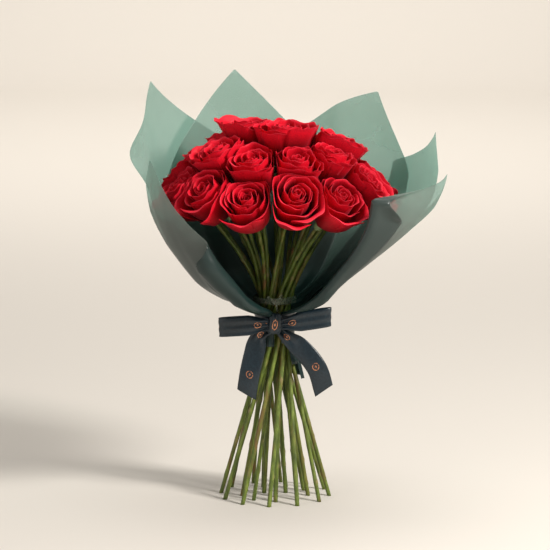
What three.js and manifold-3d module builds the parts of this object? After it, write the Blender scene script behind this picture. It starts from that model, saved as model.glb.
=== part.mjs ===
// A hand-tied bunch of two dozen roses, wrapped in six sheets of frosted film and tied with a ribbon.
// Millimetres, +Z up. The bunch stands on the cut ends of its stems, which lie in z = 0, and its front is -Y.
import * as THREE from 'three';
import { mergeVertices } from 'three/addons/utils/BufferGeometryUtils.js';
import Module from 'manifold-3d';

const manifold = await Module();
manifold.setup();

// Driving dimensions: the roses
const bloomWidth = 48;
const bloomHeight = 58;
const bloomGap = 7; // between neighbours in a ring of the dome
const bloomSides = 10;
const domeAboveWaist = 244; // from the waist up to the faces of the topmost blooms
const domeWide = 1.13; // half width of the dome, in radii of a round ring of its outer blooms
const domeDeep = 1.0; // half depth
const domeAhead = 11; // of the dome's middle in front of the stems' axis
const frontDrop = 0.715; // of the outer blooms below the topmost at the front, in the same radii
const backDrop = 0.376;
const frontTilt = 50; // lean of an outer bloom, in degrees
const backTilt = 20;
const tiltCurve = 1.7; // how much more upright the inner blooms are
const unevenRise = 4; // how far blooms stand out of their ring, up or down
const unevenTilt = 3; // how far they lean out of their ring's lean, in degrees
const riseBeat = 2.4; // how the small unevenness of height runs on from one bloom to the next, rad
const tiltBeat = 3.7;
const receptacleWidth = 13;
const receptacleHeight = 11;
const receptacleGap = 0.4; // between a receptacle and its bloom

// Driving dimensions: the stems
const stemDiameter = 5.2;
const stemSides = 6;
const stemSteps = 11; // pieces of a stem's length
const stemGap = 0.45; // between neighbours at the waist
const waistHeight = 216; // where the tied stems are narrowest
const standRadius = 66; // of the outer ring of cut ends on the ground
const overlength = 9; // cut off below the ground
const swirlAbove = 62; // turn of a stem between the waist and its bloom, in degrees

// Driving dimensions: the film wrap
const filmThickness = 0.75;
const filmGap = 0.4; // between sheets at the neck, and between the stems and the first sheet
const filmSpread = 0.02; // growth of that gap for each millimetre of film above the collar
const filmColumns = 8;
const filmRowStep = 0.33; // between rows of a sheet above its first bend, in dome radii
const collarMargin = 4; // of straight film above and below the ribbon's band

// Driving dimensions: the tie and the ribbon
const tieHeight = 9;
const tieThickness = 1.4;
const tieAboveWaist = 26;
const tieClearance = 1.2;
const ribbonWidth = 25;
const bandHeight = 20; // of the ribbon where it is drawn tight round the neck
const ribbonThickness = 0.9;
const ribbonClearance = 0.9;
const knotWidth = 19;
const knotDepth = 13;
const knotGap = 0.8; // between the knot and what leaves it
const loopLength = 58; // of each loop past the knot
const loopDepth = 9;
const loopClearance = 2.5; // of a loop's upper edge below the film's flare, at the knot
const loopRiseLeft = -4; // of a loop's far end
const loopRiseRight = 9;
const tailSlip = 0.1; // of a tail's start below the loops, in ribbon widths
const tailLengthLeft = 68;
const tailLengthRight = 84;

const domeTop = waistHeight + domeAboveWaist;
const collarHeight = bandHeight + 2 * collarMargin;
const collarTop = waistHeight + collarHeight / 2;

const rad = THREE.MathUtils.degToRad;
const { lerp, smoothstep } = THREE.MathUtils;
const up = new THREE.Vector3(0, 0, 1);

// The three rings of blooms from the top of the dome down: how many, how far out they are as a share of
// the outer ring, and the bearing of the first. A bearing is counted from the front, and grows to the
// right.
const outerCount = 12;
const rings = [
  { count: 3, share: 0.275, bearing: 20 },
  { count: 9, share: 0.67, bearing: 20 },
  { count: outerCount, share: 1, bearing: -17 },
];
const ringRadius = (bloomWidth + bloomGap) / (2 * Math.sin(Math.PI / outerCount));
const domeRadius = 1.03 * ringRadius; // what the wrap is scaled to, so that it clears the blooms

function atBearing(bearing, radius, height) {
  return new THREE.Vector3(radius * Math.sin(bearing), -radius * Math.cos(bearing), height);
}

// Ring radii at the waist: each ring is as tight as its own stems, and the ring inside it, allow.
const stemPitch = stemDiameter + stemGap;
let waistRadius = 0;
for (const ring of rings) {
  const tight = (stemPitch * 1.03) / (2 * Math.sin(Math.PI / ring.count));
  ring.waistRadius = Math.max(tight, waistRadius && waistRadius + stemPitch);
  waistRadius = ring.waistRadius;
}
// Below the waist every stem is straight, on a ruled surface that grows to the standing radius.
const ruling = Math.sqrt((standRadius / waistRadius) ** 2 - 1) / waistHeight;

function bundleRadiusAt(height) {
  const turn = ruling * (height - waistHeight);
  return waistRadius * Math.sqrt(1 + turn * turn) + stemDiameter / 2;
}

// Where a bloom's face is and which way it looks. The dome is wider than deep, and it falls away at the
// front and the sides only, so that it looks to the front.
function bloomPlace(ring, bearing, number) {
  const ahead = Math.sqrt((1 + Math.cos(bearing)) / 2);
  const drop = ringRadius * ring.share ** 2 * lerp(backDrop, frontDrop, ahead);
  const face = new THREE.Vector3(
    ringRadius * domeWide * ring.share * Math.sin(bearing),
    -domeAhead - ringRadius * domeDeep * ring.share * Math.cos(bearing),
    domeTop - drop + unevenRise * Math.sin(riseBeat * number),
  );
  const lean = ring.share ** tiltCurve * lerp(backTilt, frontTilt, ahead);
  const tilt = rad(lean + unevenTilt * Math.sin(tiltBeat * number));
  return { face, axis: atBearing(bearing, Math.sin(tilt), Math.cos(tilt)) };
}

function toManifold(geometry) {
  const bare = geometry.clone();
  bare.deleteAttribute('normal');
  bare.deleteAttribute('uv');
  const merged = mergeVertices(bare, 1e-4);
  return new manifold.Manifold(new manifold.Mesh({
    numProp: 3,
    vertProperties: merged.attributes.position.array,
    triVerts: new Uint32Array(merged.index.array),
  }));
}

function fromManifold(solid) {
  const mesh = solid.getMesh();
  const geometry = new THREE.BufferGeometry();
  geometry.setAttribute('position', new THREE.BufferAttribute(mesh.vertProperties, 3));
  geometry.setIndex(new THREE.BufferAttribute(mesh.triVerts, 1));
  geometry.computeVertexNormals();
  return geometry;
}

// A thin closed solid: a surface of u and v, each from 0 to 1, copied half a thickness to either side
// and joined round its rim.
function thinSolid(surface, columns, rows, thickness) {
  const step = 1e-3;
  const positions = [];
  for (const side of [0.5, -0.5]) {
    for (let j = 0; j <= rows; j += 1) {
      for (let i = 0; i <= columns; i += 1) {
        const u = i / columns;
        const v = j / rows;
        const alongU = surface(Math.min(1, u + step), v).sub(surface(Math.max(0, u - step), v));
        const alongV = surface(u, Math.min(1, v + step)).sub(surface(u, Math.max(0, v - step)));
        const normal = alongU.cross(alongV).normalize();
        positions.push(...surface(u, v).addScaledVector(normal, side * thickness).toArray());
      }
    }
  }
  const wide = columns + 1;
  const under = wide * (rows + 1);
  const index = [];
  const quad = (a, b, c, d) => index.push(a, b, c, a, c, d);
  for (let j = 0; j < rows; j += 1) {
    for (let i = 0; i < columns; i += 1) {
      const corner = j * wide + i;
      quad(corner, corner + 1, corner + wide + 1, corner + wide);
      quad(under + corner, under + corner + wide, under + corner + wide + 1, under + corner + 1);
    }
  }
  const rim = [];
  for (let i = 0; i < columns; i += 1) rim.push(i);
  for (let j = 0; j < rows; j += 1) rim.push(j * wide + columns);
  for (let i = columns; i > 0; i -= 1) rim.push(rows * wide + i);
  for (let j = rows; j > 0; j -= 1) rim.push(j * wide);
  rim.forEach((a, k) => {
    const b = rim[(k + 1) % rim.length];
    quad(b, a, under + a, under + b);
  });
  const geometry = new THREE.BufferGeometry();
  geometry.setAttribute('position', new THREE.Float32BufferAttribute(positions, 3));
  geometry.setIndex(index);
  geometry.computeVertexNormals();
  return geometry;
}

const petalMaterial = new THREE.MeshStandardMaterial({ color: 0xb5061c, roughness: 0.75 });
const stemMaterial = new THREE.MeshStandardMaterial({ color: 0x4f6124, roughness: 0.65 });
const filmMaterial = new THREE.MeshStandardMaterial({ color: 0x3f6a60, roughness: 0.4 });
const ribbonMaterial = new THREE.MeshStandardMaterial({ color: 0x1e2b33, roughness: 0.35 });
const tieMaterial = new THREE.MeshStandardMaterial({ color: 0xc9cfc6, roughness: 0.25 });

const bunch = new THREE.Group();

function addPiece(name, geometry, material) {
  const mesh = new THREE.Mesh(geometry, material);
  mesh.name = name;
  bunch.add(mesh);
  return mesh;
}

// A bloom: a round cup that widens from its base and closes over in a low crown, base at the origin.
function bloomGeometry() {
  const radius = bloomWidth / 2;
  const outline = [
    [0, 0],
    [0.24, 0.01],
    [0.44, 0.12],
    [0.79, 0.55],
    [1, 0.86],
    [0.86, 0.96],
    [0, 1],
  ];
  const points = outline.map(([across, along]) => new THREE.Vector2(across * radius, along * bloomHeight));
  return new THREE.LatheGeometry(points, bloomSides).rotateX(Math.PI / 2);
}

// The receptacle under a bloom: a small green bulb, from below its neck up to its flat top at the origin.
function receptacleGeometry() {
  const radius = receptacleWidth / 2;
  const points = [
    new THREE.Vector2(0, -receptacleHeight),
    new THREE.Vector2(stemDiameter * 0.42, -receptacleHeight),
    new THREE.Vector2(radius, -receptacleHeight * 0.35),
    new THREE.Vector2(radius * 0.85, 0),
    new THREE.Vector2(0, 0),
  ];
  return new THREE.LatheGeometry(points, stemSides).rotateX(Math.PI / 2);
}

function stemSection() {
  const shape = new THREE.Shape();
  for (let k = 0; k < stemSides; k += 1) {
    const angle = (2 * Math.PI * k) / stemSides;
    const x = (stemDiameter / 2) * Math.cos(angle);
    const y = (stemDiameter / 2) * Math.sin(angle);
    if (k === 0) shape.moveTo(x, y);
    else shape.lineTo(x, y);
  }
  shape.closePath();
  return shape;
}

// One stem's way: straight from below the ground to the waist, then a bow to its bloom's base.
function stemPath(ring, bearing, base, axis) {
  const waistBearing = bearing - rad(swirlAbove);
  const waist = atBearing(waistBearing, ring.waistRadius, waistHeight);
  const across = atBearing(waistBearing + Math.PI / 2, ring.waistRadius * ruling, 0);
  const rise = across.clone().add(up);
  const foot = waist.clone().addScaledVector(rise, -(waistHeight + overlength));
  const reach = base.distanceTo(waist) * 0.36;
  const path = new THREE.CurvePath();
  path.add(new THREE.LineCurve3(foot, waist));
  path.add(new THREE.CubicBezierCurve3(
    waist,
    waist.clone().addScaledVector(rise.normalize(), reach),
    base.clone().addScaledVector(axis, -reach),
    base,
  ));
  return path;
}

const ground = toManifold(new THREE.BoxGeometry(600, 600, 60).translate(0, 0, -30));

let number = 0;
const stemPaths = [];
for (const ring of rings) {
  for (let k = 0; k < ring.count; k += 1) {
    number += 1;
    const label = String(number).padStart(2, '0');
    const bearing = rad(ring.bearing + (360 / ring.count) * k);
    const { face, axis } = bloomPlace(ring, bearing, number);
    const bloomBase = face.clone().addScaledVector(axis, -bloomHeight);
    const turn = new THREE.Quaternion().setFromUnitVectors(up, axis);

    const head = addPiece(`rose_head_${label}`, bloomGeometry(), petalMaterial);
    head.position.copy(bloomBase);
    head.quaternion.copy(turn);

    const base = bloomBase.clone().addScaledVector(axis, -receptacleGap);
    const bulb = receptacleGeometry().applyQuaternion(turn).translate(base.x, base.y, base.z);
    const inside = base.clone().addScaledVector(axis, -receptacleHeight / 2);
    const path = stemPath(ring, bearing, inside, axis);
    stemPaths.push(path);
    const tube = new THREE.ExtrudeGeometry(stemSection(), { steps: stemSteps, extrudePath: path });
    const stem = toManifold(tube).add(toManifold(bulb)).subtract(ground);
    addPiece(`rose_stem_${label}`, fromManifold(stem), stemMaterial);
  }
}

// How far out the stems reach anywhere between two heights.
function stemsReach(low, high) {
  const between = stemPaths.flatMap((path) => path.getPoints(120))
    .filter((point) => point.z >= low && point.z <= high);
  return Math.max(...between.map((point) => Math.hypot(point.x, point.y))) + stemDiameter / 2;
}

// The funnel that the wrap follows, from the top of the collar: a radius and a height above it, both in
// dome radii, so that the wrap always clears the blooms. It stands steep at the back and the left, and
// leans far out at the right.
const tiedRadius = Math.max(
  bundleRadiusAt(waistHeight - collarHeight / 2),
  stemsReach(waistHeight, collarTop),
);
const neckRadius = tiedRadius + 2 * filmGap + filmThickness / 2;
const flare = [0.15, 0.065];
const steepOutline = [
  [0.57, 0.16],
  [0.83, 0.34],
  [1.13, 0.77],
  [1.28, 1.12],
  [1.34, 1.74],
  [1.37, 2.6],
];
const openOutline = [
  [0.47, 0.22],
  [0.76, 0.42],
  [1.03, 0.63],
  [1.4, 0.96],
  [1.66, 1.2],
  [1.8, 1.53],
  [1.86, 2.4],
];
// The bearings, in degrees, over which the film passes from its steep side to its open side and back.
const openFrom = [32, 82];
const openUntil = [105, 150];

function funnelSide(outline) {
  return new THREE.SplineCurve([
    new THREE.Vector2(neckRadius, collarTop),
    new THREE.Vector2(neckRadius + flare[0] * domeRadius, collarTop + flare[1] * domeRadius),
    ...outline.map(([out, high]) => new THREE.Vector2(out * domeRadius, collarTop + high * domeRadius)),
  ]);
}

const steepSide = funnelSide(steepOutline);
const openSide = funnelSide(openOutline);

function skirtRadius(height) {
  const loose = 3 * smoothstep(waistHeight - height, 14, 60);
  return bundleRadiusAt(height) + 2 * filmGap + filmThickness / 2 + loose;
}

// A point of the funnel at a bearing in degrees and a distance up the film: below the collar it is the
// skirt, which follows the stems outward again.
function funnel(bearing, reach) {
  const collar = collarHeight / 2;
  if (reach <= collar) {
    const height = waistHeight + reach;
    const radius = height < waistHeight - collar ? skirtRadius(height) : neckRadius;
    return atBearing(rad(bearing), Math.max(radius, neckRadius), height);
  }
  const openness = smoothstep(bearing, ...openFrom) * (1 - smoothstep(bearing, ...openUntil));
  const steep = steepSide.getPointAt(Math.min(1, (reach - collar) / steepSide.getLength()));
  const open = openSide.getPointAt(Math.min(1, (reach - collar) / openSide.getLength()));
  const place = steep.lerp(open, openness);
  return atBearing(rad(bearing), place.x, place.y);
}

// The rows of a sheet, as distances up the film. All sheets share them, so that they lie evenly on each
// other.
function sheetRows(foot, tip) {
  const collar = collarHeight / 2;
  const step = filmRowStep * domeRadius;
  const skirt = [-collar - 40, -collar - 22, -collar - 9].filter((drop) => drop > foot + 4);
  const bend = [0.25, 0.6, 1.1].map((part) => collar + part * step);
  const rows = [foot, ...skirt, -collar, collar, ...bend];
  for (let reach = collar + 2.1 * step; reach < tip - step / 3; reach += step) {
    rows.push(reach);
  }
  rows.push(tip);
  return rows;
}

// One sheet of film: a kite with its point up. Its edges run from the tip down to its two side corners,
// each at its own slope (sideways for each unit down), and from there it narrows to the neck and ends in a
// short skirt under the ribbon. Tip, corners and bow are in dome radii.
function wrapSheet(name, sheet) {
  const { bearing, layer, foot, neckAngle } = sheet;
  const tip = sheet.tip * domeRadius;
  const leftCorner = sheet.leftCorner * domeRadius;
  const rightCorner = sheet.rightCorner * domeRadius;
  const [leftSlope, rightSlope] = sheet.slopes;
  const bendAt = (reach) => sheet.bow * domeRadius * smoothstep(reach / domeRadius, 1.37, 3);
  const edgeAngle = (reach, slope) => {
    const radius = Math.hypot(...funnel(bearing, reach).toArray().slice(0, 2)) + bendAt(reach);
    return THREE.MathUtils.radToDeg((slope * (tip + 2 - reach)) / radius);
  };
  const halfAngle = (reach, corner, slope) => {
    if (reach >= corner) return edgeAngle(reach, slope);
    return lerp(neckAngle, edgeAngle(corner, slope), smoothstep(reach, 0, corner));
  };
  const rows = sheetRows(foot, tip);
  const surface = (u, v) => {
    const row = Math.min(rows.length - 2, Math.floor(v * (rows.length - 1) + 1e-9));
    const reach = lerp(rows[row], rows[row + 1], v * (rows.length - 1) - row);
    const side = u * 2 - 1;
    const spread = side < 0 ? halfAngle(reach, leftCorner, leftSlope)
      : halfAngle(reach, rightCorner, rightSlope);
    const at = bearing + side * spread;
    const place = funnel(at, reach);
    const shift = layer * (filmThickness + filmGap + filmSpread * Math.max(0, reach - collarHeight / 2));
    const ahead = funnel(at, reach + 1).sub(funnel(at, reach - 1));
    const round = new THREE.Vector3(Math.cos(rad(at)), Math.sin(rad(at)), 0);
    const outward = round.cross(ahead).normalize();
    return place.addScaledVector(outward, shift + bendAt(reach));
  };
  addPiece(name, thinSolid(surface, filmColumns, rows.length - 1, filmThickness), filmMaterial);
}

const wrapLayers = 4;
wrapSheet('wrap_back_centre', {
  bearing: 202, layer: 0, foot: -62, tip: 3.16, leftCorner: 1.83, rightCorner: 1.7, slopes: [1, 1],
  neckAngle: 62, bow: -0.17,
});
wrapSheet('wrap_back_left', {
  bearing: -111, layer: 1, foot: -42, tip: 3.1, leftCorner: 2.1, rightCorner: 2.5, slopes: [1.45, 0.85],
  neckAngle: 54, bow: 0.04,
});
wrapSheet('wrap_back_right', {
  bearing: 128, layer: 1, foot: -72, tip: 3.04, leftCorner: 2.2, rightCorner: 2.2, slopes: [0.4, 1.7],
  neckAngle: 54, bow: -0.2,
});
wrapSheet('wrap_right', {
  bearing: 94, layer: 2, foot: -52, tip: 2.8, leftCorner: 2.1, rightCorner: 2.3, slopes: [0.4, 1.7],
  neckAngle: 50, bow: -0.2,
});
wrapSheet('wrap_front_left', {
  bearing: -70, layer: 2, foot: -30, tip: 2.36, leftCorner: 1.46, rightCorner: 1.6, slopes: [1, 0.95],
  neckAngle: 59, bow: 0,
});
wrapSheet('wrap_front_right', {
  bearing: 84, layer: 3, foot: -26, tip: 2.4, leftCorner: 2.06, rightCorner: 1.9, slopes: [3.1, 0.8],
  neckAngle: 60, bow: -0.15,
});

// A closed ring round the bundle's axis, its middle at a height.
function ring(innerRadius, thickness, height, middle) {
  const outerRadius = innerRadius + thickness;
  const points = [
    new THREE.Vector2(innerRadius, -height / 2),
    new THREE.Vector2(outerRadius, -height / 2),
    new THREE.Vector2(outerRadius, height / 2),
    new THREE.Vector2(innerRadius, height / 2),
    new THREE.Vector2(innerRadius, -height / 2),
  ];
  return new THREE.LatheGeometry(points, 24).rotateX(Math.PI / 2).translate(0, 0, middle);
}

// A knot: a rounded lump on the front of a ring.
function knot(width, depth, height, outerRadius, middle) {
  return new THREE.SphereGeometry(0.5, 10, 8).scale(width, depth, height)
    .translate(0, -(outerRadius + depth / 2 - 2), middle);
}

function stemTie() {
  const middle = waistHeight + tieAboveWaist;
  const innerRadius = stemsReach(waistHeight, middle + tieHeight) + tieClearance;
  const lump = knot(8, 7, tieHeight * 0.8, innerRadius + tieThickness, middle);
  const tie = toManifold(ring(innerRadius, tieThickness, tieHeight, middle)).add(toManifold(lump));
  addPiece('stem_tie', fromManifold(tie), tieMaterial);
}

const ribbonRadius = neckRadius + (wrapLayers - 1) * (filmThickness + filmGap) + filmThickness / 2
  + ribbonClearance;
const loopHeight = ribbonWidth * 0.92;
const loopBottom = collarTop - loopClearance - loopHeight;
const knotFront = -(ribbonRadius + ribbonThickness + knotDepth / 2 - 2);

function ribbonBand() {
  const lump = knot(knotWidth, knotDepth, ribbonWidth * 0.9, ribbonRadius + ribbonThickness, waistHeight);
  const band = toManifold(ring(ribbonRadius, ribbonThickness, bandHeight, waistHeight));
  addPiece('ribbon_band', fromManifold(band.add(toManifold(lump))), ribbonMaterial);
}

// A loop of the bow: the ribbon runs out from the knot, turns back in a hairpin and returns.
function ribbonLoop(name, side, rise) {
  const start = knotWidth / 2 + knotGap;
  const plan = [
    [0, -0.13],
    [0.35, -0.45],
    [0.85, -0.45],
    [1, 0],
    [0.85, 0.45],
    [0.35, 0.45],
    [0, 0.13],
  ];
  const route = new THREE.CatmullRomCurve3(plan.map(([along, across]) => new THREE.Vector3(
    side * (start + along * loopLength),
    knotFront - 2 + across * loopDepth,
    loopBottom + loopHeight / 2 + rise * along,
  )));
  const surface = (u, v) => route.getPoint(u).addScaledVector(up, (v - 0.5) * loopHeight);
  addPiece(name, thinSolid(surface, 18, 2, ribbonThickness), ribbonMaterial);
}

// A tail of the bow: it leaves the knot's lower side and falls in a soft curve over the skirt and stems.
function ribbonTail(name, length, route) {
  const start = new THREE.Vector3(0, knotFront - 3, loopBottom - ribbonWidth * tailSlip);
  const curve = new THREE.CatmullRomCurve3(route.map(([across, ahead, down]) => new THREE.Vector3(
    across * length,
    -ahead * length,
    -down * length,
  ).add(start)));
  const surface = (u, v) => {
    const across = curve.getTangent(v).cross(new THREE.Vector3(0, 1, 0)).normalize();
    return curve.getPoint(v).addScaledVector(across, (u - 0.5) * ribbonWidth);
  };
  addPiece(name, thinSolid(surface, 3, 8, ribbonThickness), ribbonMaterial);
}

stemTie();
ribbonBand();
ribbonLoop('ribbon_loop_left', -1, loopRiseLeft);
ribbonLoop('ribbon_loop_right', 1, loopRiseRight);
ribbonTail('ribbon_tail_left', tailLengthLeft, [
  [-0.28, 0, 0.03],
  [-0.36, 0.05, 0.3],
  [-0.44, 0.08, 0.65],
  [-0.5, 0.07, 1.02],
]);
ribbonTail('ribbon_tail_right', tailLengthRight, [
  [0.16, 0, 0.03],
  [0.4, 0.05, 0.22],
  [0.6, 0.08, 0.48],
  [0.7, 0.07, 0.76],
]);

// The origin is on the ground, under the middle of the whole bunch.
const box = new THREE.Box3().setFromObject(bunch);
bunch.position.set(-(box.min.x + box.max.x) / 2, -(box.min.y + box.max.y) / 2, 0);

export default bunch;
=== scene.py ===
"""The looks of a hand-tied bunch of red roses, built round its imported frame.

Lengths are in metres, in the frame's axes: +Z up, the front of the bunch at -Y. MM turns the
millimetre sizes of the real flowers, film and ribbon into metres.
"""

import math

import bpy
import numpy as np
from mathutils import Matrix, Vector


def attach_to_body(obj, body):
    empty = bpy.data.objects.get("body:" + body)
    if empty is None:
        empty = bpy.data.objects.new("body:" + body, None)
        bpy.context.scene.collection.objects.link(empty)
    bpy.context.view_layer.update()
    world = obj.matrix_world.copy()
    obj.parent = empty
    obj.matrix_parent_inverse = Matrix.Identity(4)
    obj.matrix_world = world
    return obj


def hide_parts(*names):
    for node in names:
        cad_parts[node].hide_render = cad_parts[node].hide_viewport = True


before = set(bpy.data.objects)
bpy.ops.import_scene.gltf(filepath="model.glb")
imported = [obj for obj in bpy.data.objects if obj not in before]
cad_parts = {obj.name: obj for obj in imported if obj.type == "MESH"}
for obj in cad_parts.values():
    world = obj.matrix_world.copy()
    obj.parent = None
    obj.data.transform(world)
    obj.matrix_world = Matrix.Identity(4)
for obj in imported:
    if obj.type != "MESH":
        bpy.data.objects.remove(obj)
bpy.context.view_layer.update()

MM = 0.001
ROSES = 24
SEED = 7

# The bunch, as the frame has it
WAIST = 216 * MM
BAND_HEIGHT = 20 * MM
COLLAR_TOP = WAIST + 14 * MM
RIBBON_WIDTH = 25 * MM

# ---------------- reading the frame


def node_mesh(name):
    """The points and triangles of a frame node."""
    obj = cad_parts[name]
    mesh = obj.data
    mesh.calc_loop_triangles()
    points = np.empty(len(mesh.vertices) * 3)
    mesh.vertices.foreach_get("co", points)
    triangles = np.empty(len(mesh.loop_triangles) * 3, dtype=np.int64)
    mesh.loop_triangles.foreach_get("vertices", triangles)
    place = np.array(obj.matrix_world)
    points = points.reshape(-1, 3) @ place[:3, :3].T + place[:3, 3]
    return points, triangles.reshape(-1, 3)


def slice_centre(points, triangles, height):
    """The middle of a node's cross-section at a height."""
    corners = points[triangles]
    hits = []
    for i in range(3):
        a = corners[:, i]
        b = corners[:, (i + 1) % 3]
        crossing = (a[:, 2] - height) * (b[:, 2] - height) < 0
        a = a[crossing]
        b = b[crossing]
        share = ((height - a[:, 2]) / (b[:, 2] - a[:, 2]))[:, None]
        hits.append(a + share * (b - a))
    hits = np.concatenate(hits)
    return (hits.min(axis=0) + hits.max(axis=0)) / 2


def round_axis(name):
    """The base, the direction and the height of a round node, such as a bloom, that points upwards."""
    points, triangles = node_mesh(name)
    corners = points[triangles]
    middles = corners.mean(axis=1)
    areas = np.linalg.norm(np.cross(corners[:, 1] - corners[:, 0], corners[:, 2] - corners[:, 0]), axis=1)
    centre = np.average(middles, axis=0, weights=areas)
    spread = middles - centre
    sizes, directions = np.linalg.eigh((spread * areas[:, None]).T @ spread)
    odd = 0 if sizes[1] - sizes[0] > sizes[2] - sizes[1] else 2
    axis = directions[:, odd]
    if axis[2] < 0:
        axis = -axis
    along = (points - centre) @ axis
    return centre + axis * along.min(), axis, along.max() - along.min()


heads = [round_axis(f"rose_head_{k + 1:02d}") for k in range(ROSES)]
stem_meshes = [node_mesh(f"rose_stem_{k + 1:02d}") for k in range(ROSES)]
feet = [slice_centre(points, triangles, 0.2 * MM) for points, triangles in stem_meshes]
AXIS = np.mean(feet, axis=0)[:2]

# ---------------- mesh helpers


def make_object(name, points, faces, materials, face_materials=None, attributes=None):
    """A smooth-shaded mesh object from numpy points and a list of quads or longer faces."""
    mesh = bpy.data.meshes.new(name)
    mesh.from_pydata(points.tolist(), [], faces)
    for material in materials:
        mesh.materials.append(material)
    if face_materials is not None:
        mesh.polygons.foreach_set("material_index", face_materials)
    mesh.polygons.foreach_set("use_smooth", [True] * len(mesh.polygons))
    for key, values in (attributes or {}).items():
        layer = mesh.attributes.new(key, "FLOAT_VECTOR", "POINT")
        layer.data.foreach_set("vector", np.asarray(values, dtype=np.float32).ravel())
    mesh.update()
    obj = bpy.data.objects.new(name, mesh)
    bpy.context.scene.collection.objects.link(obj)
    return obj


def attach(obj, node=None):
    """Puts a piece on the bunch's one body, in the place of a node's plain shape where it has one."""
    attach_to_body(obj, "root")
    if node:
        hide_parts(node)


def grid_faces(rows, columns, start=0):
    """Quads of a grid of rows x columns points."""
    index = np.arange(rows * columns).reshape(rows, columns) + start
    quads = np.stack([index[:-1, :-1], index[:-1, 1:], index[1:, 1:], index[1:, :-1]], axis=-1)
    return quads.reshape(-1, 4)


def tube_faces(rows, sides, start=0):
    """Quads round a tube, closed sideways, and a face across each of its two ends."""
    index = np.arange(rows * sides).reshape(rows, sides) + start
    wrapped = np.roll(index, -1, axis=1)
    quads = np.stack([index[:-1], wrapped[:-1], wrapped[1:], index[1:]], axis=-1).reshape(-1, 4)
    return quads.tolist(), [index[0, ::-1].tolist(), index[-1].tolist()]


def unit(vectors):
    """Vectors of length 1 in the same directions."""
    return vectors / np.maximum(np.linalg.norm(vectors, axis=-1, keepdims=True), 1e-12)


def thick_sheet(grid, thickness):
    """Points and quads of a closed thin sheet round a grid. thickness may be one number or one a point."""
    rows, columns = grid.shape[:2]
    normals = unit(np.cross(np.gradient(grid, axis=1), np.gradient(grid, axis=0)))
    half = np.broadcast_to(np.asarray(thickness) / 2, grid.shape[:2])[..., None]
    count = rows * columns
    points = np.concatenate([(grid + normals * half).reshape(-1, 3), (grid - normals * half).reshape(-1, 3)])
    top = grid_faces(rows, columns)
    under = grid_faces(rows, columns, count)[:, ::-1]
    index = np.arange(count).reshape(rows, columns)
    rim = np.concatenate([index[0, :-1], index[:-1, -1], index[-1, :0:-1], index[:0:-1, 0]])
    following = np.roll(rim, -1)
    sides = np.stack([following, rim, rim + count, following + count], axis=-1)
    return points, np.concatenate([top, under, sides])


def smooth_step(value, low, high):
    """0 below low, 1 above high, and a soft rise between."""
    share = np.clip((value - low) / (high - low), 0, 1)
    return share * share * (3 - 2 * share)


def bearing_point(bearing, radius, height):
    """A point at a bearing in radians, counted from the front and growing to the right."""
    return np.stack([
        AXIS[0] + radius * np.sin(bearing),
        AXIS[1] - radius * np.cos(bearing),
        height + 0 * bearing,
    ], axis=-1)


def distances(points):
    """How far each point of a path is from its start, along the path."""
    return np.concatenate([[0], np.cumsum(np.linalg.norm(np.diff(points, axis=0), axis=1))])


def turn_to(axis, roll):
    """A rotation that takes +Z to an axis, after a roll about +Z."""
    z = unit(axis)
    side = np.cross([0, 0, 1.0], z)
    if np.linalg.norm(side) < 1e-6:
        side = np.array([1.0, 0, 0])
    x = unit(side)
    y = np.cross(z, x)
    c = math.cos(roll)
    s = math.sin(roll)
    return np.stack([c * x + s * y, c * y - s * x, z], axis=1)


# ---------------- materials


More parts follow.
